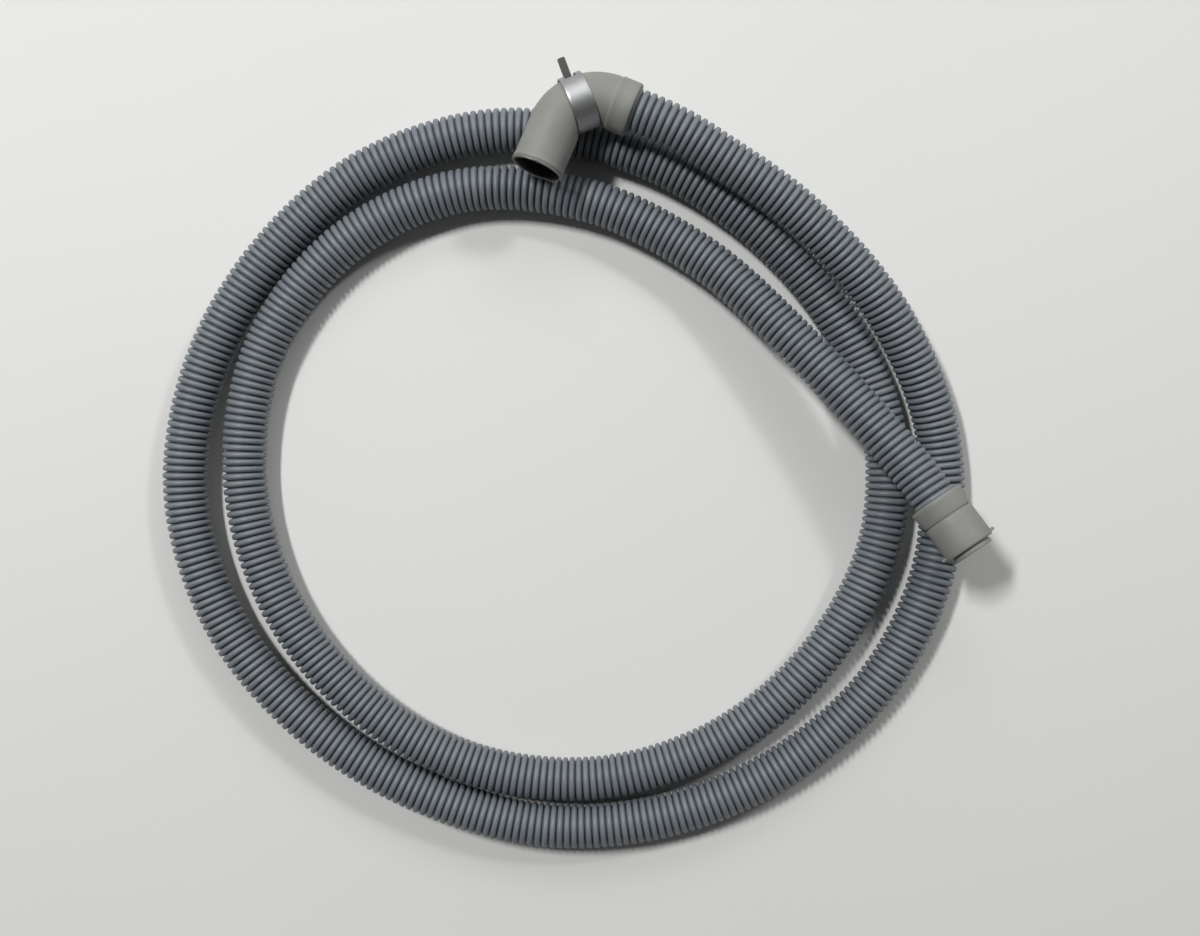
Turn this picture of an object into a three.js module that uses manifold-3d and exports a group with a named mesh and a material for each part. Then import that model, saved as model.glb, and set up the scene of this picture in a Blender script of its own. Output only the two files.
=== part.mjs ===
// Washing machine drain hose: a corrugated hose lying in two turns, with a moulded
// right-angle elbow at one end, a straight moulded cuff at the other, and a steel
// spring clamp parked on the elbow. Millimetres, Z up, the hose lies on Z = 0.
import * as THREE from "three";
import { mergeVertices } from "three/addons/utils/BufferGeometryUtils.js";
import Module from "manifold-3d";

const wasm = await Module();
wasm.setup();

// Hose: outer diameter over the ridges, and how far each end goes into its fitting.
const hoseDiameter = 24;
const hoseInsertion = 13;
const hoseSides = 12;
const hoseSteps = 80;

// Clearances: hose to socket wall, hose end to socket floor, and clamp to elbow.
const socketClearance = 0.5;
const floorClearance = 0.4;
const clampClearance = 0.3;
const socketDiameter = hoseDiameter + 2 * socketClearance;

// Elbow: a tube bent through a right angle, with a collar round the hose socket. Its
// mouth leg rises a little, by a turn about the hose leg.
const elbowWall = 1.3;
const elbowDiameter = socketDiameter + 2 * elbowWall;
const elbowBore = 21;
const elbowBendRadius = 24;
const elbowHoseLeg = 35;
const elbowMouthLeg = 48.4;
const elbowTilt = 5;
const collarHeight = 0.5;
const collarLength = 10;
const collarTaper = 1.2;
const mouthWall = 1.9;
const mouthDepth = 20;
const mouthBeadHeight = 0.4;
const mouthBeadLength = 1.6;

// Spring clamp: a strip of steel with a narrow tongue at one end, which runs in the
// long window of the other end. Angles in degrees, from the outside of the bend.
const clampWidth = 12;
const clampThickness = 0.9;
const clampPlace = 45.5;
const tongueWidth = 4.6;
const tangWidth = 3.8;
const tangLength = 10.3;
const tabCorner = 0.9;
const windowRailWidth = 3;
const windowStartAngle = 44;
const earAngle = -62;
const earLength = 8.5;
const earBridge = 4;
const stripGapAngle = 7;
const joinAngle = 1;

// Straight cuff: a tapered collar round the hose socket, a sleeve, and an end lip.
const cuffRearWall = 2.2;
const cuffWaistWall = 0.85;
const cuffCollarLength = 10.9;
const cuffGroove = 0.5;
const sleeveWall = 1.15;
const sleeveLength = 18.9;
const sleeveEdge = 1;
const lipDiameter = 22;
const lipLength = 3;
const lipGroove = 0.7;
const cuffBore = 18.4;
const nibLength = 2.2;
const nibWidth = 1.8;
const nibThickness = 1.2;

const edgeChamfer = 0.7;
const joinDepth = 0.1;
const roundSegments = 40;
const bendSteps = 24;
const stripStep = 6;
const halfTurn = Math.PI;

// Route of the hose's middle line, from inside the cuff to inside the elbow.
const route = [
  [199.5, -31, 48.8],
  [182, -4.5, 41.2],
  [163.5, 19, 35.4],
  [124.5, 64, 25.6],
  [74, 112.5, 15.2],
  [11, 145, 12.5],
  [-59.5, 150.5, 12],
  [-123.5, 121.5, 12],
  [-167, 65.5, 12],
  [-179.5, -4.5, 12],
  [-161.5, -73.5, 12],
  [-117.5, -130, 12],
  [-55.5, -166, 12],
  [15.5, -174, 12],
  [84, -152.5, 12],
  [138, -106.5, 12],
  [171, -44, 12],
  [171.5, 26.5, 12],
  [140.5, 90, 12],
  [91.5, 140.5, 12],
  [29, 174, 12],
  [-41, 183, 12],
  [-109, 162.5, 12],
  [-163.5, 117, 12],
  [-200.5, 55.5, 12],
  [-212.5, -15, 12],
  [-193, -83.5, 12],
  [-148.5, -139.5, 12],
  [-88, -179, 12],
  [-19.5, -200, 12],
  [52, -195, 12],
  [118, -167.5, 12],
  [171, -120, 12],
  [201, -56, 12.2],
  [202, 15, 13.8],
  [173.5, 79, 24.5],
  [127.5, 130.5, 32],
  [80.5, 164, 36.2],
  [56.5, 178, 38.2],
  [26, 191, 38.2],
].map((point) => new THREE.Vector3(...point));

function material(colour, roughness, metalness) {
  return new THREE.MeshStandardMaterial({ color: colour, roughness, metalness });
}

const hosePlastic = material(0x6f7880, 0.5, 0);
const greyRubber = material(0x9fa29a, 0.62, 0);
const springSteel = material(0xb4b6b8, 0.3, 1);

// Boolean work: a geometry as a solid, and a solid back as a geometry.
function solid(geometry) {
  const bare = geometry.clone();
  bare.deleteAttribute("normal");
  bare.deleteAttribute("uv");
  const merged = mergeVertices(bare, 1e-4);
  return new wasm.Manifold(
    new wasm.Mesh({
      numProp: 3,
      vertProperties: merged.attributes.position.array,
      triVerts: new Uint32Array(merged.index.array),
    }),
  );
}

function geometryOf(body) {
  const mesh = body.getMesh();
  const geometry = new THREE.BufferGeometry();
  geometry.setAttribute("position", new THREE.BufferAttribute(mesh.vertProperties, 3));
  geometry.setIndex(new THREE.BufferAttribute(mesh.triVerts, 1));
  return geometry;
}

function named(name, geometry, look) {
  const mesh = new THREE.Mesh(geometry, look);
  mesh.name = name;
  return mesh;
}

// A turned body about the X axis, from pairs of place along X and radius.
function turned(profile) {
  const points = profile.map(([along, radius]) => new THREE.Vector2(radius, along));
  return new THREE.LatheGeometry(points, roundSegments).rotateZ(-halfTurn / 2);
}

// A bore cutter along X: a plain cylinder whose open end at `mouth` is chamfered.
function boreCutter(floor, mouth, diameter) {
  const radius = diameter / 2;
  const side = Math.sign(mouth - floor);
  const profile = [
    [floor, 0],
    [floor, radius],
    [mouth - side * edgeChamfer, radius],
    [mouth + side * edgeChamfer, radius + 2 * edgeChamfer],
    [mouth + side * edgeChamfer, 0],
  ];
  return turned(side > 0 ? profile : profile.reverse());
}

// Hose

function makeHose() {
  const section = new THREE.Shape();
  for (let i = 0; i < hoseSides; i += 1) {
    const angle = (i / hoseSides) * 2 * halfTurn;
    const x = (hoseDiameter / 2) * Math.cos(angle);
    const y = (hoseDiameter / 2) * Math.sin(angle);
    if (i === 0) section.moveTo(x, y);
    else section.lineTo(x, y);
  }
  section.closePath();
  const path = new THREE.CatmullRomCurve3(route, false, "centripetal");
  const tube = new THREE.ExtrudeGeometry(section, { steps: hoseSteps, extrudePath: path });
  return named("drain_hose", tube, hosePlastic);
}

// Elbow, in its own frame: the corner of the two legs at the origin, the hose leg
// along +X and the mouth leg along -Y.

class ElbowPath extends THREE.Curve {
  constructor(overrun) {
    super();
    this.start = elbowHoseLeg - elbowBendRadius + overrun;
    this.arc = (elbowBendRadius * halfTurn) / 2;
    this.end = elbowMouthLeg - elbowBendRadius + overrun;
  }

  getPoint(t, target = new THREE.Vector3()) {
    const along = t * (this.start + this.arc + this.end);
    if (along < this.start) {
      return target.set(elbowBendRadius + this.start - along, 0, 0);
    }
    if (along > this.start + this.arc) {
      return target.set(0, -elbowBendRadius - (along - this.start - this.arc), 0);
    }
    const angle = (along - this.start) / elbowBendRadius;
    return target.set(
      elbowBendRadius * (1 - Math.sin(angle)),
      elbowBendRadius * (Math.cos(angle) - 1),
      0,
    );
  }
}

function elbowTube(diameter, overrun) {
  const section = new THREE.Shape();
  section.absarc(0, 0, diameter / 2, 0, 2 * halfTurn);
  return new THREE.ExtrudeGeometry(section, {
    steps: bendSteps,
    curveSegments: roundSegments / 2,
    extrudePath: new ElbowPath(overrun),
  });
}

// Turns a body made along +X so that it points down the mouth leg.
function alongMouth(geometry) {
  return geometry.rotateZ(-halfTurn / 2);
}

function makeElbow() {
  const radius = elbowDiameter / 2;
  const collarRadius = radius + collarHeight;
  const collarStart = elbowHoseLeg - collarLength;
  const collar = turned([
    [collarStart - collarTaper, 0],
    [collarStart - collarTaper, radius - joinDepth],
    [collarStart, collarRadius],
    [elbowHoseLeg - edgeChamfer, collarRadius],
    [elbowHoseLeg, collarRadius - edgeChamfer],
    [elbowHoseLeg, 0],
  ]);
  const beadRadius = radius + mouthBeadHeight;
  const bead = alongMouth(
    turned([
      [elbowMouthLeg - 2 * mouthBeadLength, 0],
      [elbowMouthLeg - 2 * mouthBeadLength, radius - joinDepth],
      [elbowMouthLeg - mouthBeadLength, beadRadius],
      [elbowMouthLeg - edgeChamfer / 2, beadRadius],
      [elbowMouthLeg, beadRadius - edgeChamfer / 2],
      [elbowMouthLeg, 0],
    ]),
  );
  const hoseSocket = boreCutter(
    elbowHoseLeg - hoseInsertion - floorClearance,
    elbowHoseLeg,
    socketDiameter,
  );
  const spigotSocket = alongMouth(
    boreCutter(elbowMouthLeg - mouthDepth, elbowMouthLeg, elbowDiameter - 2 * mouthWall),
  );
  const body = solid(elbowTube(elbowDiameter, 0))
    .add(solid(collar))
    .add(solid(bead))
    .subtract(solid(elbowTube(elbowBore, edgeChamfer)))
    .subtract(solid(hoseSocket))
    .subtract(solid(spigotSocket))
    .subtract(solid(clampSeat()));
  return named("elbow_fitting", geometryOf(body), greyRubber);
}

// Spring clamp, in its own frame: the ring's axis along Z, and +X away from the
// middle of the bend. Angles are in degrees from +X.

const clampInner = elbowDiameter / 2 + clampClearance;
const clampOuter = clampInner + clampThickness;
const stripEndAngle = 360 + earAngle - stripGapAngle;

function polar(radius, degrees) {
  const angle = THREE.MathUtils.degToRad(degrees);
  return new THREE.Vector2(radius * Math.cos(angle), radius * Math.sin(angle));
}

// A stretch of the strip between two angles, with its middle at an offset along Z.
function strip(from, to, width, offset) {
  const count = Math.ceil((to - from) / stripStep);
  const inner = [];
  const outer = [];
  for (let i = 0; i <= count; i += 1) {
    const degrees = from + ((to - from) * i) / count;
    inner.push(polar(clampInner, degrees));
    outer.push(polar(clampOuter, degrees));
  }
  const outline = new THREE.Shape([...outer, ...inner.reverse()]);
  const band = new THREE.ExtrudeGeometry(outline, { depth: width, bevelEnabled: false });
  return solid(band.translate(0, 0, offset - width / 2));
}

// A flat tab standing out from the ring at an angle, from a face outline.
function tab(face, degrees) {
  const sheet = new THREE.ExtrudeGeometry(face, { depth: clampThickness, bevelEnabled: false });
  sheet.translate(0, 0, -clampThickness / 2);
  sheet.rotateX(halfTurn / 2);
  return solid(sheet.rotateZ(THREE.MathUtils.degToRad(degrees)));
}

// The face of a tab: its foot in the strip, its rounded tip at a radius.
function tabFace(tip, width) {
  const foot = clampInner + joinDepth;
  const half = width / 2;
  const face = new THREE.Shape();
  face.moveTo(foot, -half);
  face.lineTo(tip - tabCorner, -half);
  face.absarc(tip - tabCorner, tabCorner - half, tabCorner, -halfTurn / 2, 0);
  face.absarc(tip - tabCorner, half - tabCorner, tabCorner, 0, halfTurn / 2);
  face.lineTo(foot, half);
  face.closePath();
  return face;
}

function makeClamp() {
  const railPlace = (clampWidth - windowRailWidth) / 2;
  const windowWidth = clampWidth - 2 * windowRailWidth;
  const earTip = clampOuter + earLength;
  const earSlot = new THREE.BoxGeometry(2 * (earLength - earBridge), 2 * clampWidth, windowWidth);
  earSlot.translate(clampOuter, 0, 0).rotateZ(THREE.MathUtils.degToRad(earAngle));
  const ear = tab(tabFace(earTip, clampWidth), earAngle).subtract(solid(earSlot));
  const body = strip(windowStartAngle - joinAngle, stripEndAngle, clampWidth, 0)
    .add(strip(stripEndAngle - joinAngle, 360, tongueWidth, 0))
    .add(tab(tabFace(clampOuter + tangLength, tangWidth), 0))
    .add(strip(earAngle, windowStartAngle, windowRailWidth, railPlace))
    .add(strip(earAngle, windowStartAngle, windowRailWidth, -railPlace))
    .add(ear);
  return named("spring_clamp", geometryOf(body), springSteel);
}

// Where the clamp sits on the bend, as a matrix from the clamp's frame to the elbow's.
function clampSite() {
  const angle = THREE.MathUtils.degToRad(clampPlace);
  const centre = new THREE.Vector3(
    elbowBendRadius * (1 - Math.sin(angle)),
    elbowBendRadius * (Math.cos(angle) - 1),
    0,
  );
  const outward = new THREE.Vector3(-Math.sin(angle), Math.cos(angle), 0);
  const up = new THREE.Vector3(0, 0, 1);
  const axis = new THREE.Vector3().crossVectors(outward, up);
  return new THREE.Matrix4().makeBasis(outward, up, axis).setPosition(centre);
}

// The rubber that the band presses back where the inside of the bend would cross it.
function clampSeat() {
  const seatInner = elbowDiameter / 2;
  const seatOuter = seatInner + elbowDiameter / 2;
  const half = clampWidth / 2 + clampClearance;
  const ring = turned([
    [-half, seatInner],
    [-half, seatOuter],
    [half, seatOuter],
    [half, seatInner],
    [-half, seatInner],
  ]);
  return ring.rotateY(halfTurn / 2).applyMatrix4(clampSite());
}

// Straight cuff, in its own frame: the hose side face at the origin, the free end
// along +X.

function makeCuff() {
  const sleeveEnd = cuffCollarLength + sleeveLength;
  const end = sleeveEnd + lipLength;
  const socket = socketDiameter / 2;
  const rear = socket + cuffRearWall;
  const waist = socket + cuffWaistWall;
  const sleeve = socket + sleeveWall;
  const lip = lipDiameter / 2;
  const bore = cuffBore / 2;
  const floor = hoseInsertion + floorClearance;
  const shell = turned([
    [0, socket + edgeChamfer],
    [0, rear - edgeChamfer],
    [edgeChamfer, rear],
    [cuffCollarLength - cuffGroove, waist],
    [cuffCollarLength, waist - cuffGroove],
    [cuffCollarLength, sleeve - edgeChamfer / 2],
    [cuffCollarLength + edgeChamfer / 2, sleeve],
    [sleeveEnd - sleeveEdge, sleeve],
    [sleeveEnd - sleeveEdge / 3, sleeve - sleeveEdge / 3],
    [sleeveEnd, sleeve - sleeveEdge],
    [sleeveEnd, lip - lipGroove],
    [sleeveEnd + lipGroove, lip - lipGroove],
    [sleeveEnd + 2 * lipGroove, lip],
    [end - edgeChamfer / 2, lip],
    [end, lip - edgeChamfer / 2],
    [end, bore + edgeChamfer],
    [end - edgeChamfer, bore],
    [floor + edgeChamfer, bore],
    [floor, bore + edgeChamfer],
    [floor, socket],
    [edgeChamfer, socket],
    [0, socket + edgeChamfer],
  ]);
  let body = solid(shell);
  for (const side of [-1, 1]) {
    const nib = new THREE.BoxGeometry(nibWidth, nibLength + sleeveEdge, nibThickness);
    nib.translate(sleeveEnd - sleeveEdge - nibWidth / 2, side * (sleeve + nibLength / 2 - sleeveEdge / 2), 0);
    body = body.add(solid(nib));
  }
  return named("straight_cuff", geometryOf(body), greyRubber);
}

// Assembly: each fitting is placed by the end of the hose that it holds.

// A frame at a point, with +X along a direction, turned about it by an angle.
function frameAt(point, direction, turn) {
  const side = new THREE.Vector3(0, 0, 1).cross(direction).normalize();
  const up = direction.clone().cross(side);
  const roll = new THREE.Matrix4().makeRotationX(THREE.MathUtils.degToRad(turn));
  return new THREE.Matrix4().makeBasis(direction, side, up).setPosition(point).multiply(roll);
}

// A group of pieces, moved to the point at a distance beyond one end of the route.
function fittingAt(end, neighbour, beyond, facing, turn, pieces) {
  const outward = end.clone().sub(neighbour).normalize();
  const origin = end.clone().addScaledVector(outward, beyond);
  const group = new THREE.Group();
  group.add(...pieces);
  group.applyMatrix4(frameAt(origin, outward.multiplyScalar(facing), turn));
  return group;
}

const clamp = makeClamp();
clamp.applyMatrix4(clampSite());
const last = route.length - 1;
const cornerReach = elbowHoseLeg - hoseInsertion;

const assembly = new THREE.Group();
assembly.add(
  makeHose(),
  fittingAt(route[0], route[1], -hoseInsertion, 1, 0, [makeCuff()]),
  fittingAt(route[last], route[last - 1], cornerReach, -1, -elbowTilt, [makeElbow(), clamp]),
);

export default assembly;
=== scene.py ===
import math

import bpy
import numpy as np
from mathutils import Matrix, Vector


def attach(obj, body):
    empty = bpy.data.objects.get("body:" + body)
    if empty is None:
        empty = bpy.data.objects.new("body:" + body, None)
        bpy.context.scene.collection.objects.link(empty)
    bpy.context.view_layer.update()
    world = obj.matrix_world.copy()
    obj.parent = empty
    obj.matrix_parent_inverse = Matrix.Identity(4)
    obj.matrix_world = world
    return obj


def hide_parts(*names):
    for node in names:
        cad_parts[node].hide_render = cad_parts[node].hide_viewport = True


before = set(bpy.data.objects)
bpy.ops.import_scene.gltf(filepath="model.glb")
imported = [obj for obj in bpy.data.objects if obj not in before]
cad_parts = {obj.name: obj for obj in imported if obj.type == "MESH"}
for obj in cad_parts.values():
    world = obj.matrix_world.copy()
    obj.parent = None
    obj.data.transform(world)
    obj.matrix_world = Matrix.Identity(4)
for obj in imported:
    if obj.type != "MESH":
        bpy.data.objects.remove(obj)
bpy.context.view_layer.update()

# Camera: held over the hose and looking straight down, a little off level, about 0.67 m
# above the surface that the hose lies on.
eye = bpy.data.cameras.new("overhead_camera")
eye.sensor_width = 36
eye.lens = 36
camera = bpy.data.objects.new("overhead_camera", eye)
camera.location = (0.02947, 0.01407, 0.67313)
camera.rotation_euler = [math.radians(a) for a in (-1.4265, 1.0211, -0.7228)]
bpy.context.scene.collection.objects.link(camera)
bpy.context.scene.camera = camera

# Drain hose: blow-moulded plastic, thin walled, with ring-shaped ridges that sit close
# together so that it can bend. It lies in two turns, and each end is fixed in a rubber
# fitting.
hose_route_mm = [
    (199.5, -31, 48.8), (182, -4.5, 41.2), (163.5, 19, 35.4), (124.5, 64, 25.6),
    (74, 112.5, 15.2), (11, 145, 12.5), (-59.5, 150.5, 12), (-123.5, 121.5, 12),
    (-167, 65.5, 12), (-179.5, -4.5, 12), (-161.5, -73.5, 12), (-117.5, -130, 12),
    (-55.5, -166, 12), (15.5, -174, 12), (84, -152.5, 12), (138, -106.5, 12),
    (171, -44, 12), (171.5, 26.5, 12), (140.5, 90, 12), (91.5, 140.5, 12),
    (29, 174, 12), (-41, 183, 12), (-109, 162.5, 12), (-163.5, 117, 12),
    (-200.5, 55.5, 12), (-212.5, -15, 12), (-193, -83.5, 12), (-148.5, -139.5, 12),
    (-88, -179, 12), (-19.5, -200, 12), (52, -195, 12), (118, -167.5, 12),
    (171, -120, 12), (201, -56, 12.2), (202, 15, 13.8), (173.5, 79, 24.5),
    (127.5, 130.5, 32), (80.5, 164, 36.2), (56.5, 178, 38.2), (26, 191, 38.2),
]
hose_route = np.array(hose_route_mm) / 1000
hose_insertion = 0.013
ridge_pitch = 0.00395
ridge_radius = 0.012
# One ridge, from groove to groove: share of the pitch, radius, depth in the groove, which sets
# the painted groove shade.
ridge_profile = [
    (0.00, 0.00930, 1.0),
    (0.10, 0.01060, 0.60),
    (0.23, 0.01167, 0.04),
    (0.50, 0.01200, 0.0),
    (0.77, 0.01167, 0.04),
    (0.90, 0.01060, 0.60),
]
ridge_unevenness = 0.00006
hose_sides = 24
route_steps = 24
tangent_reach = 0.002
# The hose's own bore at each end, inside the fitting: from and to what depth it is made,
# and its painted shade and tone.
hose_bore_radius = 0.0092
hose_bore_start = 0.0004
hose_bore_seen = 0.045
hose_bore_rings = 8
hose_bore_shade = 0.8
hose_bore_tone = 0.5


def smooth_line(points, per_span):
    """A smooth line through the points, each span cut into as many steps."""
    ghosts = np.vstack([2 * points[0] - points[1], points, 2 * points[-1] - points[-2]])
    line = []
    for p0, p1, p2, p3 in zip(ghosts, ghosts[1:], ghosts[2:], ghosts[3:]):
        d0, d1, d2 = (math.sqrt(np.linalg.norm(b - a)) for a, b in ((p0, p1), (p1, p2), (p2, p3)))
        t1 = ((p1 - p0) / d0 - (p2 - p0) / (d0 + d1) + (p2 - p1) / d1) * d1
        t2 = ((p2 - p1) / d1 - (p3 - p1) / (d1 + d2) + (p3 - p2) / d2) * d1
        t = np.linspace(0, 1, per_span, endpoint=False)[:, None]
        bend = -3 * p1 + 3 * p2 - 2 * t1 - t2
        twist = 2 * p1 - 2 * p2 + t1 + t2
        line.append(p1 + t1 * t + bend * t * t + twist * t**3)
    return np.vstack(line + [points[-1:]])


def frames_along(line, stations):
    """Place, side and up vectors at distances along a line, the side kept level."""
    steps = np.linalg.norm(np.diff(line, axis=0), axis=1)
    reach = np.concatenate([[0], np.cumsum(steps)])
    places, ahead, behind = (
        np.column_stack([np.interp(distances, reach, line[:, i]) for i in range(3)])
        for distances in (stations, stations + tangent_reach, stations - tangent_reach)
    )
    along = ahead - behind
    along /= np.linalg.norm(along, axis=1)[:, None]
    side = np.cross(along, (0, 0, 1))
    side /= np.linalg.norm(side, axis=1)[:, None]
    up = np.cross(side, along)
    return places, side, up


def tube_faces(rings, sides):
    """Quads between rings of points, each ring joined round."""
    ring, corner = np.meshgrid(np.arange(rings - 1), np.arange(sides), indexing="ij")
    after = (corner + 1) % sides
    quads = np.stack(
        [ring * sides + corner, ring * sides + after,
         (ring + 1) * sides + after, (ring + 1) * sides + corner],
        axis=-1,
    )
    return quads.reshape(-1, 4)


def smooth_piece(name, points, faces):
    """A smooth-shaded piece from points and faces."""
    mesh = bpy.data.meshes.new(name)
    mesh.from_pydata([tuple(p) for p in points], [], [tuple(int(i) for i in f) for f in faces])
    mesh.validate()
    mesh.shade_smooth()
    piece = bpy.data.objects.new(name, mesh)
    bpy.context.scene.collection.objects.link(piece)
    return piece


def mark_points(piece, name, values):
    """A named value for each point of a piece, which its material reads."""
    layer = piece.data.attributes.new(name, "FLOAT", "POINT")
    layer.data.foreach_set("value", np.asarray(values, dtype=np.float32))


hose_line = smooth_line(hose_route, route_steps)
hose_length = float(np.linalg.norm(np.diff(hose_line, axis=0), axis=1).sum())
ridge_count = int(hose_length / ridge_pitch)
draw = np.random.default_rng(7)
ridge_swell = draw.normal(0, ridge_unevenness, ridge_count)
ridge_tone = draw.uniform(0, 1, ridge_count)
stations = []
radii = []
grooves = []
tones = []
for ridge in range(ridge_count):
    for share, radius, groove in ridge_profile:
        stations.append((ridge + share) * ridge_pitch)
        radii.append(min(ridge_radius, radius + ridge_swell[ridge] * (1 - groove)))
        grooves.append(groove)
        tones.append(ridge_tone[ridge])
bore_depths = np.linspace(hose_bore_start, hose_bore_seen, hose_bore_rings)
stations = np.concatenate([bore_depths[::-1], stations, stations[-1] - bore_depths])
radii, grooves, tones = (
    np.pad(values, hose_bore_rings, constant_values=in_bore)
    for values, in_bore in ((radii, hose_bore_radius), (grooves, hose_bore_shade),
                            (tones, hose_bore_tone))
)
places, side, up = frames_along(hose_line, stations)
turn = np.linspace(0, 2 * math.pi, hose_sides, endpoint=False)
hose_points = (
    places[:, None]
    + radii[:, None, None] * np.cos(turn)[None, :, None] * side[:, None]
    + radii[:, None, None] * np.sin(turn)[None, :, None] * up[:, None]
).reshape(-1, 3)
first_cap = [list(range(hose_sides))[::-1]]
last_ring = (len(stations) - 1) * hose_sides
last_cap = [list(range(last_ring, last_ring + hose_sides))]
hose_quads = tube_faces(len(stations), hose_sides)[:, ::-1]
hose = smooth_piece("corrugated_hose", hose_points, [*first_cap, *hose_quads, *last_cap])
mark_points(hose, "groove", np.repeat(grooves, hose_sides))
mark_points(hose, "ridge_tone", np.repeat(tones, hose_sides))
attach(hose, "root")
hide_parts("drain_hose")


def new_group(name, inputs, outputs):
    """An empty node group with named inputs and outputs."""
    group = bpy.data.node_groups.new(name, "ShaderNodeTree")
    for label, kind, value in inputs:
        socket = group.interface.new_socket(label, in_out="INPUT", socket_type=kind)
        if value is not None:
            socket.default_value = value
    for label, kind in outputs:
        group.interface.new_socket(label, in_out="OUTPUT", socket_type=kind)
    return group, group.nodes.new("NodeGroupInput"), group.nodes.new("NodeGroupOutput")


def node(tree, kind, values=(), **settings):
    """A node with its settings made, and values for its inputs by name or number."""
    made = tree.nodes.new(kind)
    for key, value in settings.items():
        setattr(made, key, value)
    for key, value in dict(values).items():
        if isinstance(value, bpy.types.NodeSocket):
            tree.links.new(value, made.inputs[key])
        else:
            made.inputs[key].default_value = value
    return made


def ramp(tree, factor, stops):
    """A ramp between grey levels at the given places."""
    made = tree.nodes.new("ShaderNodeValToRGB")
    tree.links.new(factor, made.inputs["Fac"])
    band = made.color_ramp
    while len(band.elements) < len(stops):
        band.elements.new(0.5)
    for element, (position, grey) in zip(band.elements, stops):
        element.position = position
        element.color = (grey, grey, grey, 1)
    return made.outputs["Color"]


def mixed(tree, factor, a, b, blend="MIX"):
    """Two colours mixed; each is a socket or a plain colour."""
    made = tree.nodes.new("ShaderNodeMix")
    made.data_type = "RGBA"
    made.blend_type = blend
    for key, value in ((0, factor), (6, a), (7, b)):
        if isinstance(value, bpy.types.NodeSocket):
            tree.links.new(value, made.inputs[key])
        else:
            made.inputs[key].default_value = value
    return made.outputs[2]


# Marks of handling, for the plastic, the rubber and the steel: cloudy smudges, small
# scuffs, and a fine grain for the bump.
handling, marks_in, marks_out = new_group(
    "handling_marks",
    [("Place", "NodeSocketVector", None), ("Cloud Size", "NodeSocketFloat", 60.0),
     ("Grain Size", "NodeSocketFloat", 2500.0)],
    [("Smudge", "NodeSocketFloat"), ("Scuff", "NodeSocketFloat"), ("Grain", "NodeSocketFloat")],
)
cloud = node(handling, "ShaderNodeTexNoise",
             {"Vector": marks_in.outputs["Place"], "Scale": marks_in.outputs["Cloud Size"],
              "Detail": 5.0, "Roughness": 0.6})
grain = node(handling, "ShaderNodeTexNoise",
             {"Vector": marks_in.outputs["Place"], "Scale": marks_in.outputs["Grain Size"],
              "Detail": 3.0})
fleck = node(handling, "ShaderNodeTexNoise",
             {"Vector": marks_in.outputs["Place"], "Scale": 420.0, "Detail": 6.0,
              "Roughness": 0.7})
smudge = ramp(handling, cloud.outputs["Fac"], [(0.32, 0), (0.72, 1)])
scuff = ramp(handling, fleck.outputs["Fac"], [(0.60, 0), (0.68, 1)])
handling.links.new(smudge, marks_out.inputs["Smudge"])
handling.links.new(scuff, marks_out.inputs["Scuff"])
handling.links.new(grain.outputs["Fac"], marks_out.inputs["Grain"])


def new_finish(name, cloud_size, grain_size):
    """A material with its node tree, its shader and the handling marks."""
    finish = bpy.data.materials.new(name)
    finish.use_nodes = True
    tree = finish.node_tree
    shader = tree.nodes["Principled BSDF"]
    spot = tree.nodes.new("ShaderNodeTexCoord").outputs["Object"]
    marks = node(tree, "ShaderNodeGroup", node_tree=handling)
    tree.links.new(spot, marks.inputs["Place"])
    marks.inputs["Cloud Size"].default_value = cloud_size
    marks.inputs["Grain Size"].default_value = grain_size
    return finish, tree, shader, marks


def point_mark(tree, name):
    """The value that a piece holds under a name for each of its points."""
    return node(tree, "ShaderNodeAttribute", attribute_name=name).outputs["Fac"]


def scuffed_over(tree, marks, strength, below, colour):
    """A colour with paler scuffs over it."""
    share = node(tree, "ShaderNodeMath", {0: marks.outputs["Scuff"], 1: strength},
                 operation="MULTIPLY").outputs[0]
    return mixed(tree, share, below, colour)


def dress(tree, shader, marks, tone, roughness, strength, distance):
    """The tone on the shader, its roughness by the smudges and its bump by the grain."""
    tree.links.new(tone, shader.inputs["Base Color"])
    clean, smudged = roughness
    gloss = ramp(tree, marks.outputs["Smudge"], [(0.0, clean), (1.0, smudged)])
    tree.links.new(gloss, shader.inputs["Roughness"])
    bump = node(tree, "ShaderNodeBump",
                {"Strength": strength, "Distance": distance, "Height": marks.outputs["Grain"]})
    tree.links.new(bump.outputs["Normal"], shader.inputs["Normal"])


hose_finish, tree, shader, marks = new_finish("ribbed_grey_plastic", 38.0, 900.0)
crest = mixed(tree, point_mark(tree, "ridge_tone"),
              (0.143, 0.162, 0.189, 1), (0.157, 0.180, 0.195, 1))
clouded = mixed(tree, marks.outputs["Smudge"], crest, (0.155, 0.171, 0.185, 1))
scuffed = scuffed_over(tree, marks, 0.22, clouded, (0.30, 0.32, 0.33, 1))
# Painted shade: the grooves between the ridges are darkened to near black, and so is the hose's
# bore inside each fitting.
groove_shade = ramp(tree, point_mark(tree, "groove"), [(0.26, 0), (0.92, 0.88)])
groove_shaded = mixed(tree, groove_shade, scuffed, (0.020, 0.026, 0.033, 1))
dress(tree, shader, marks, groove_shaded, (0.42, 0.54), 0.25, 0.0002)
hose.data.materials.append(hose_finish)

# Elbow fitting: moulded grey rubber, bent through a right angle. A collar grips the
# hose in its socket, and the open mouth at the other end takes the outlet spout.
elbow_radius = 0.0138
elbow_bore = 0.0105
elbow_bend = 0.024
elbow_hose_leg = 0.035
elbow_mouth_leg = 0.0484
elbow_tilt = math.radians(5)
collar_radius = 0.0143
collar_length = 0.010
collar_taper = 0.0012
mouth_radius = 0.0119
mouth_depth = 0.020
socket_radius = 0.0125
elbow_sides = 72
elbow_skin_rings = 74
elbow_bore_rings = 30
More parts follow.
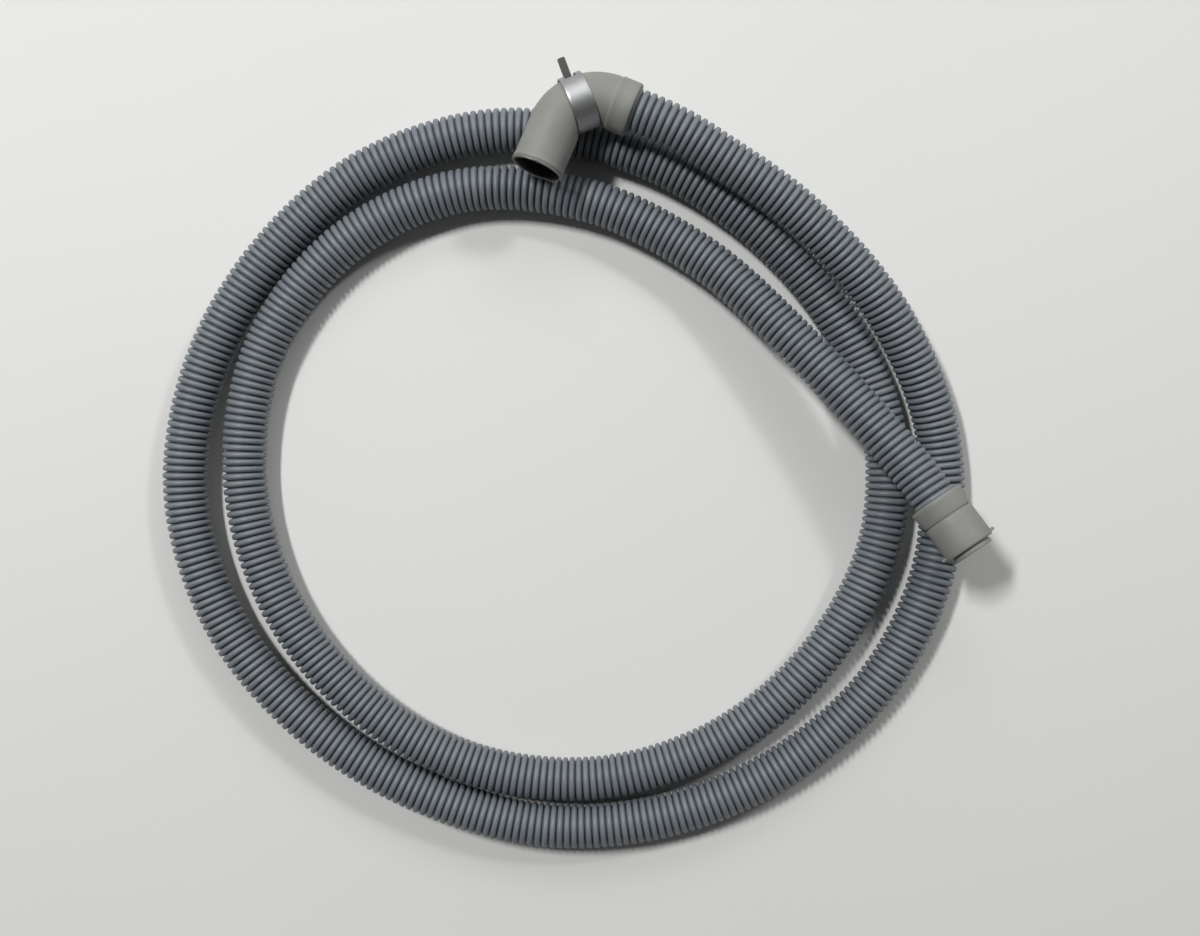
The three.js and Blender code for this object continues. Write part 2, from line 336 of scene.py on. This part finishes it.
# The mouth's lip is a little uneven: how far that reaches back, and how strong it is
# across and along the tube.
lip_reach = 0.0025
lip_wave_across = 0.00007
lip_wave_along = 0.00012
lip_wave_count = 6
# The bore's painted shade: its strength at the lip, and the depth over which it grows by 1.
lip_shade = 0.30
shade_depth = 0.0005


def end_frame(end, neighbour, beyond, facing, roll):
    """A frame at a distance beyond one end of the route, with +X along the hose there."""
    outward = Vector(end - neighbour).normalized()
    direction = outward * facing
    side = Vector((0, 0, 1)).cross(direction).normalized()
    up = direction.cross(side)
    turned = Matrix((direction, side, up)).transposed().to_4x4()
    origin = Vector(end) + outward * beyond
    return Matrix.Translation(origin) @ turned @ Matrix.Rotation(roll, 4, "X")


elbow_frame = end_frame(hose_route[-1], hose_route[-2], elbow_hose_leg - hose_insertion,
                        -1, -elbow_tilt)
straight_in = elbow_hose_leg - elbow_bend
bend_length = elbow_bend * math.pi / 2
straight_out = elbow_mouth_leg - elbow_bend
elbow_length = straight_in + bend_length + straight_out


def elbow_station(reach):
    """Centre, and the side vector away from the inside of the bend, at a distance along."""
    if reach < straight_in:
        return Vector((elbow_hose_leg - reach, 0, 0)), Vector((0, 1, 0))
    if reach > straight_in + bend_length:
        gone = reach - straight_in - bend_length
        return Vector((0, -elbow_bend - gone, 0)), Vector((-1, 0, 0))
    angle = (reach - straight_in) / elbow_bend
    centre = Vector((elbow_bend * (1 - math.sin(angle)), elbow_bend * (math.cos(angle) - 1), 0))
    return centre, Vector((-math.sin(angle), math.cos(angle), 0))


clamp_angle = math.radians(45.5)
clamp_width = 0.012
# The band presses the rubber in: how far beside it, how steeply the skin comes back, and
# over what length.
seat_margin = 0.0002
seat_slope = 2.5
seat_reach = 0.003
clamp_centre, clamp_out = elbow_station(straight_in + elbow_bend * clamp_angle)
clamp_axis = clamp_out.cross(Vector((0, 0, 1)))


def seated(point):
    """A point of the elbow's skin, pressed back where the clamp's band lies over it."""
    away = point - clamp_centre
    along = away.dot(clamp_axis)
    radial = away - clamp_axis * along
    beyond = abs(along) - (clamp_width / 2 + seat_margin)
    limit = elbow_radius + max(0, beyond) * seat_slope
    if beyond > seat_reach or radial.length <= limit:
        return point
    return clamp_centre + clamp_axis * along + radial.normalized() * limit


def closed_tube_faces(rings, sides):
    """Quads between rings of points, with the last ring joined to the first."""
    closing = tube_faces(2, sides) % sides
    closing[:, :2] += (rings - 1) * sides
    return [*tube_faces(rings, sides), *closing]


outer_skin = [
    (0.0, socket_radius + 0.0006),
    (0.0, collar_radius - 0.0007),
    (0.0002, collar_radius - 0.0003),
    (0.0007, collar_radius),
    (0.0030, collar_radius),
    (0.0060, collar_radius),
    (collar_length - 0.0006, collar_radius - 0.00005),
    (collar_length - 0.0002, collar_radius + 0.00012),
    (collar_length + 0.0002, collar_radius + 0.00010),
    (collar_length + 0.0005, collar_radius - 0.00025),
    (collar_length + collar_taper, elbow_radius),
]
plain_from = collar_length + collar_taper + 0.0006
plain_to = elbow_length - 0.0042
for reach in np.linspace(plain_from, plain_to, elbow_skin_rings):
    outer_skin.append((reach, elbow_radius))
outer_skin += [
    (elbow_length - 0.0036, elbow_radius + 0.00004),
    (elbow_length - 0.0028, elbow_radius + 0.00024),
    (elbow_length - 0.0018, elbow_radius + 0.00036),
    (elbow_length - 0.0014, elbow_radius + 0.00030),
    (elbow_length - 0.0012, elbow_radius - 0.00018),
    (elbow_length - 0.0009, elbow_radius - 0.00018),
    (elbow_length - 0.0007, elbow_radius + 0.00030),
    (elbow_length - 0.0004, elbow_radius + 0.00040),
    (elbow_length - 0.0001, elbow_radius + 0.00020),
    (elbow_length, elbow_radius - 0.0002),
]
inner_skin = [
    (elbow_length, mouth_radius + 0.0009),
    (elbow_length - 0.0003, mouth_radius + 0.0005),
    (elbow_length - 0.0010, mouth_radius + 0.0002),
    (elbow_length - 0.0020, mouth_radius),
    (elbow_length - 0.0100, mouth_radius),
    (elbow_length - mouth_depth, mouth_radius),
    (elbow_length - mouth_depth - 0.0003, elbow_bore),
]
bore_from = elbow_length - mouth_depth - 0.002
for reach in np.linspace(bore_from, hose_insertion + 0.002, elbow_bore_rings):
    inner_skin.append((reach, elbow_bore))
inner_skin += [
    (hose_insertion + 0.0005, elbow_bore),
    (hose_insertion + 0.0004, socket_radius),
    (0.0006, socket_radius),
    (0.0, socket_radius + 0.0006),
]
elbow_points = []
lip_draw = np.random.default_rng(21)
lip_wave = lip_draw.normal(0, 1, lip_wave_count)
for index, (reach, radius) in enumerate(outer_skin + inner_skin[:-1]):
    centre, away = elbow_station(reach)
    near_lip = max(0.0, 1 - (elbow_length - reach) / lip_reach)
    along = (elbow_station(min(reach + 0.001, elbow_length))[0] - centre).normalized()
    for step in range(elbow_sides):
        angle = 2 * math.pi * step / elbow_sides
        wave = sum(swing * math.sin((2 * k + 3) * angle + k) for k, swing in enumerate(lip_wave))
        reached = radius + near_lip**3 * wave * lip_wave_across
        rise = Vector((0, 0, math.sin(angle) * reached))
        spot = centre + away * math.cos(angle) * reached + rise
        spot += along * near_lip**2 * wave * lip_wave_along
        elbow_points.append(elbow_frame @ (seated(spot) if index < len(outer_skin) else spot))
elbow_rings = len(outer_skin) + len(inner_skin) - 1
elbow_faces = [tuple(face)[::-1] for face in closed_tube_faces(elbow_rings, elbow_sides)]
elbow = smooth_piece("moulded_elbow", elbow_points, elbow_faces)
# Painted shade in the mouth: the bore darkens from the lip inwards.
mouth_shade = [0.0] * len(outer_skin)
for reach, radius in inner_skin[:-1]:
    mouth_shade.append(min(1.0, lip_shade + max(0.0, (elbow_length - reach) / shade_depth)))
mark_points(elbow, "inside", np.repeat(mouth_shade, elbow_sides))
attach(elbow, "root")
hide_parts("elbow_fitting")

rubber, tree, shader, marks = new_finish("moulded_grey_rubber", 55.0, 1500.0)
body = mixed(tree, marks.outputs["Smudge"], (0.191, 0.195, 0.178, 1), (0.219, 0.223, 0.204, 1))
scuffed = scuffed_over(tree, marks, 0.16, body, (0.42, 0.42, 0.39, 1))
# The bore's painted shade, read from the inside mark.
bore_shaded = mixed(tree, point_mark(tree, "inside"), scuffed, (0.014, 0.012, 0.010, 1))
dress(tree, shader, marks, bore_shaded, (0.52, 0.66), 0.10, 0.0002)
elbow.data.materials.append(rubber)

# Spring clamp: one strip of spring steel bent into a ring. The narrow tongue at one end
# runs in the window of the other end; the tang and the ear stand out to be squeezed.
clamp_thickness = 0.0009
clamp_inner = elbow_radius + 0.0003
clamp_middle = clamp_inner + clamp_thickness / 2
tongue_width = 0.0046
tang_width = 0.0042
tang_length = 0.0108
tang_lean = math.radians(22)
window_rail = 0.003
window_start = math.radians(44)
ear_angle = math.radians(-62)
ear_length = 0.0085
ear_bridge = 0.004
strip_gap = math.radians(7)
strip_end = math.radians(360) + ear_angle - strip_gap
strip_corner = 0.0009
tongue_shoulder = 0.0016
root_bend = 0.0012
ear_steps = 4
band_steps = 24
window_steps = 60
tongue_steps = 18
worn_edge = 0.00008
worn_from = math.radians(50)
crisp_from = math.radians(24)
clamp_frame = elbow_frame @ Matrix.Translation(clamp_centre) @ Matrix(
    (clamp_out, Vector((0, 0, 1)), clamp_axis)).transposed().to_4x4()


def spoke(radius, angle):
    """A point of the ring's plane at a radius and angle."""
    return Vector((radius * math.cos(angle), radius * math.sin(angle)))


def rounded_end(gone, corner):
    """How far a corner's rounding takes off the half width, near the end of a strip."""
    if gone >= corner:
        return 0
    return corner - math.sqrt(corner**2 - (corner - gone) ** 2)


def round_bend(hub, start, end, lean):
    """Four places round a hub, from after the start to the end and on by a lean."""
    first = start - hub
    last = end - hub
    sweep = math.atan2(first.x * last.y - first.y * last.x, first.dot(last)) + lean
    return [hub + Matrix.Rotation(sweep * share, 2) @ first for share in (0.25, 0.5, 0.75, 1.0)]


bend_offset = math.asin(root_bend / (clamp_middle + root_bend))
bend_reach = (clamp_middle + root_bend) * math.cos(bend_offset)
clamp_outer = clamp_inner + clamp_thickness
half = clamp_width / 2
rail_inner = half - window_rail
ear_tip = clamp_outer + ear_length
# Each station: its place on the strip's middle line, half the width over the rails (None
# where only the middle goes on), if the middle is there, and half the middle's width.
strip_stations = []
for gone in (0, 0.0002, 0.0005, strip_corner, 0.0024, ear_bridge - 0.0002):
    shrink = rounded_end(gone, strip_corner)
    strip_stations.append((spoke(ear_tip - gone, ear_angle), half - shrink, True, rail_inner))
for gone in np.linspace(ear_bridge, ear_tip - bend_reach, ear_steps):
    place = spoke(ear_tip - gone, ear_angle)
    strip_stations.append((place, half, gone == ear_bridge, rail_inner))
ring_start = ear_angle + bend_offset
for place in round_bend(spoke(clamp_middle + root_bend, ring_start),
                        spoke(bend_reach, ear_angle), spoke(clamp_middle, ring_start), 0):
    strip_stations.append((place, half, False, rail_inner))
for angle in np.linspace(ring_start, window_start, band_steps)[1:-1]:
    strip_stations.append((spoke(clamp_middle, angle), half, False, rail_inner))
strip_stations.append((spoke(clamp_middle, window_start), half, True, rail_inner))
for angle in np.linspace(window_start, strip_end, window_steps)[1:]:
    strip_stations.append((spoke(clamp_middle, angle), half, True, rail_inner))
for gone in (0.0003, 0.0006, strip_corner):
    angle = strip_end + gone / clamp_middle
    shrink = rounded_end(strip_corner - gone, strip_corner)
    strip_stations.append((spoke(clamp_middle, angle), half - shrink, True, rail_inner))
tongue_from = strip_end + tongue_shoulder / clamp_middle
tongue_to = 2 * math.pi - bend_offset
for angle in np.linspace(tongue_from, tongue_to, tongue_steps):
    strip_stations.append((spoke(clamp_middle, angle), None, True, tongue_width / 2))
tang_bend = round_bend(spoke(clamp_middle + root_bend, -bend_offset),
                       spoke(clamp_middle, -bend_offset), spoke(bend_reach, 0), tang_lean)
for step, place in enumerate(tang_bend, 1):
    width = tongue_width + (tang_width - tongue_width) * step / len(tang_bend)
    strip_stations.append((place, None, True, width / 2))
tang_reach = clamp_outer + tang_length - bend_reach
for gone in (0.0060, 0.0030, strip_corner, 0.0005, 0.0002, 0.0):
    shrink = rounded_end(gone, strip_corner)
    place = tang_bend[-1] + spoke(tang_reach - gone, tang_lean)
    strip_stations.append((place, None, True, tang_width / 2 - shrink))

# Points that two bands share, to a micrometre, are made once. The tongue and tang are
# marked for a painted shade.
strip_points = []
strip_faces = []
tang_shade = []
columns_before = {}
for place, outer, middle_there, inner in strip_stations:
    shares = {}
    if outer is not None:
        shares["left"] = (-outer, -(outer + inner) / 2, -inner)
        shares["right"] = (inner, (outer + inner) / 2, outer)
    if middle_there:
        shares["middle"] = (-inner, -inner / 2, 0, inner / 2, inner)
    seen = {}
    columns = {}
    for band, widths in shares.items():
        columns[band] = []
        for width in widths:
            key = round(width * 1e6)
            if key not in seen:
                seen[key] = len(strip_points)
                strip_points.append(Vector((place.x, place.y, width)))
                tang_shade.append(1.0 if outer is None else 0.0)
            columns[band].append(seen[key])
    for band, now in columns.items():
        before = columns_before.get(band)
        if before:
            for i in range(len(now) - 1):
                strip_faces.append((before[i], before[i + 1], now[i + 1], now[i]))
    columns_before = columns
strip_points = [clamp_frame @ point for point in strip_points]
clamp = smooth_piece("spring_steel_clamp", strip_points, strip_faces)
mark_points(clamp, "tang_shade", tang_shade)
sheet_metal = clamp.modifiers.new("sheet", "SOLIDIFY")
sheet_metal.thickness = clamp_thickness
sheet_metal.offset = 0
edges = clamp.modifiers.new("worn_edges", "BEVEL")
edges.width = worn_edge
edges.segments = 2
edges.limit_method = "ANGLE"
edges.angle_limit = worn_from
worked = clamp.evaluated_get(bpy.context.evaluated_depsgraph_get())
clamp_mesh = bpy.data.meshes.new_from_object(worked)
clamp.modifiers.clear()
clamp.data = clamp_mesh
clamp_mesh.shade_smooth()
clamp_mesh.set_sharp_from_angle(angle=crisp_from)
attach(clamp, "root")
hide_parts("spring_clamp")

steel, tree, shader, marks = new_finish("satin_spring_steel", 90.0, 3000.0)
bright = mixed(tree, marks.outputs["Smudge"], (0.36, 0.365, 0.37, 1), (0.41, 0.415, 0.42, 1))
# Painted shade: the tongue and tang are coloured darker than the rest of the band.
steel_tone = mixed(tree, point_mark(tree, "tang_shade"), bright, (0.240, 0.243, 0.235, 1))
dress(tree, shader, marks, steel_tone, (0.46, 0.54), 0.06, 0.0001)
shader.inputs["Metallic"].default_value = 1.0
clamp.data.materials.append(steel)

# Straight cuff: moulded grey rubber for the waste pipe end. A tapered collar grips the
# hose, then a step, a plain sleeve with a nib at each side, and a narrower end lip.
cuff_rear = 0.0147
cuff_waist = 0.01335
cuff_collar = 0.0109
sleeve_radius = 0.01365
sleeve_length = 0.0189
lip_radius = 0.011
lip_length = 0.003
cuff_bore = 0.0092
nib_length = 0.0022
nib_width = 0.0018
nib_thickness = 0.0012
nib_inset = 0.0019
nib_squareness = 0.6
nib_sides = 16
cuff_sides = 96
cuff_frame = end_frame(hose_route[0], hose_route[1], -hose_insertion, 1, 0)
sleeve_end = cuff_collar + sleeve_length
cuff_end = sleeve_end + lip_length
cuff_profile = [
    (0.0, socket_radius + 0.0006), (0.0, cuff_rear - 0.0008), (0.0002, cuff_rear - 0.0003),
    (0.0007, cuff_rear), (0.0022, cuff_rear - 0.00016), (0.0050, cuff_rear - 0.00058),
    (0.0080, cuff_rear - 0.00098), (cuff_collar - 0.0010, cuff_waist + 0.00004),
    (cuff_collar - 0.0006, cuff_waist - 0.0001), (cuff_collar - 0.0004, cuff_waist - 0.0008),
    (cuff_collar, cuff_waist - 0.0008), (cuff_collar, sleeve_radius - 0.0004),
    (cuff_collar + 0.0002, sleeve_radius - 0.0001), (cuff_collar + 0.0005, sleeve_radius),
    (cuff_collar + 0.004, sleeve_radius), (cuff_collar + 0.009, sleeve_radius),
    (cuff_collar + 0.014, sleeve_radius), (sleeve_end - 0.0012, sleeve_radius),
    (sleeve_end - 0.0006, sleeve_radius - 0.00012), (sleeve_end - 0.0002, sleeve_radius - 0.0004),
    (sleeve_end, sleeve_radius - 0.0009), (sleeve_end, lip_radius - 0.0007),
    (sleeve_end + 0.0005, lip_radius - 0.0007), (sleeve_end + 0.0009, lip_radius - 0.0001),
    (sleeve_end + 0.0013, lip_radius), (cuff_end - 0.0006, lip_radius),
    (cuff_end - 0.0002, lip_radius - 0.00012), (cuff_end, lip_radius - 0.0004),
    (cuff_end, cuff_bore + 0.0005), (cuff_end - 0.0002, cuff_bore + 0.00015),
    (cuff_end - 0.0006, cuff_bore), (cuff_end - 0.008, cuff_bore),
    (hose_insertion + 0.0008, cuff_bore), (hose_insertion + 0.0004, cuff_bore + 0.0004),
    (hose_insertion + 0.0004, socket_radius), (0.0006, socket_radius),
]
cuff_points = []
for along, radius in cuff_profile:
    for step in range(cuff_sides):
        angle = 2 * math.pi * step / cuff_sides
        cuff_points.append(Vector((along, radius * math.cos(angle), radius * math.sin(angle))))
cuff_faces = [tuple(face) for face in closed_tube_faces(len(cuff_profile), cuff_sides)]


def squared(share):
    """A sine or cosine pushed outwards, which gives a circle flatter sides."""
    return math.copysign(abs(share) ** nib_squareness, share)


# One nib, from inside the sleeve's wall to its rounded top: height, and share of its size.
nib_profile = [
    (-0.0010, 1.0), (0.0, 1.0), (nib_length - 0.0006, 0.92), (nib_length - 0.0002, 0.78),
    (nib_length, 0.45),
]
for way in (-1, 1):
    start = len(cuff_points)
    for height, share in nib_profile:
        for step in range(nib_sides):
            angle = 2 * math.pi * step / nib_sides
            across = nib_width / 2 * share * squared(math.cos(angle))
            over = nib_thickness / 2 * share * squared(math.sin(angle))
            out = way * (sleeve_radius + height)
            cuff_points.append(Vector((sleeve_end - nib_inset + across, out, over)))
    nib_faces = [tuple(face + start) for face in tube_faces(len(nib_profile), nib_sides)]
    nib_faces.append(tuple(range(start, start + nib_sides))[::-1])
    top = start + (len(nib_profile) - 1) * nib_sides
    nib_faces.append(tuple(range(top, top + nib_sides)))
    cuff_faces += nib_faces if way > 0 else [face[::-1] for face in nib_faces]
cuff = smooth_piece("moulded_cuff", [cuff_frame @ point for point in cuff_points], cuff_faces)
cuff.data.materials.append(rubber)
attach(cuff, "root")
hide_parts("straight_cuff")

# Studio: a pale floor, a main lamp from the far left, a weaker one from the far right, a
# wide soft fill from the far side, and a room that is darker overhead and on the near side.
floor_half = 2
floor_corners = [(-floor_half, -floor_half, 0), (floor_half, -floor_half, 0),
                 (floor_half, floor_half, 0), (-floor_half, floor_half, 0)]
floor = smooth_piece("floor", floor_corners, [(0, 1, 2, 3)])
paper = bpy.data.materials.new("pale_floor")
paper.use_nodes = True
tree = paper.node_tree
shader = tree.nodes["Principled BSDF"]
shader.inputs["Roughness"].default_value = 0.8
fibre = node(tree, "ShaderNodeTexNoise", {"Scale": 9.0, "Detail": 4.0})
pale = mixed(tree, fibre.outputs["Fac"], (0.66, 0.66, 0.645, 1), (0.70, 0.70, 0.685, 1))
tree.links.new(pale, shader.inputs["Base Color"])
floor.data.materials.append(paper)


def soft_light(name, place, target, length, width, power):
    """A soft light that faces the target, its length level."""
    lamp = bpy.data.lights.new(name, "AREA")
    lamp.shape = "RECTANGLE"
    lamp.size = length
    lamp.size_y = width
    lamp.energy = power
    light = bpy.data.objects.new(name, lamp)
    light.location = place
    light.rotation_euler = (Vector(target) - Vector(place)).to_track_quat("-Z", "Y").to_euler()
    bpy.context.scene.collection.objects.link(light)


soft_light("main_lamp", (-1.08, 1.1, 2.5), (0, 1.1, 0), 0.62, 0.2, 68.0)
soft_light("right_lamp", (1.5, 1.5, 2.0), (0, 0, 0), 0.4, 0.3, 18.5)
soft_light("far_fill", (0.5, 2.4, 1.8), (0, 0, 0), 2.5, 0.8, 22.0)
world = bpy.data.worlds.new("pale_room")
world.use_nodes = True
tree = world.node_tree
far_side = (0.12, 0.90, 0.41)
aim = node(tree, "ShaderNodeTexCoord").outputs["Generated"]
upward = node(tree, "ShaderNodeSeparateXYZ", {0: aim}).outputs["Z"]
walls = ramp(tree, upward, [(0.0, 0.66), (0.2, 0.55), (0.55, 0.12)])
facing = node(tree, "ShaderNodeVectorMath", {0: aim, 1: far_side}, operation="DOT_PRODUCT")
side_shade = ramp(tree, facing.outputs["Value"], [(0.0, 0.35), (0.60, 1)])
room = mixed(tree, 1.0, walls, side_shade, "MULTIPLY")
tree.links.new(room, tree.nodes["Background"].inputs["Color"])
bpy.context.scene.world = world
bpy.context.scene.view_settings.view_transform = "Standard"
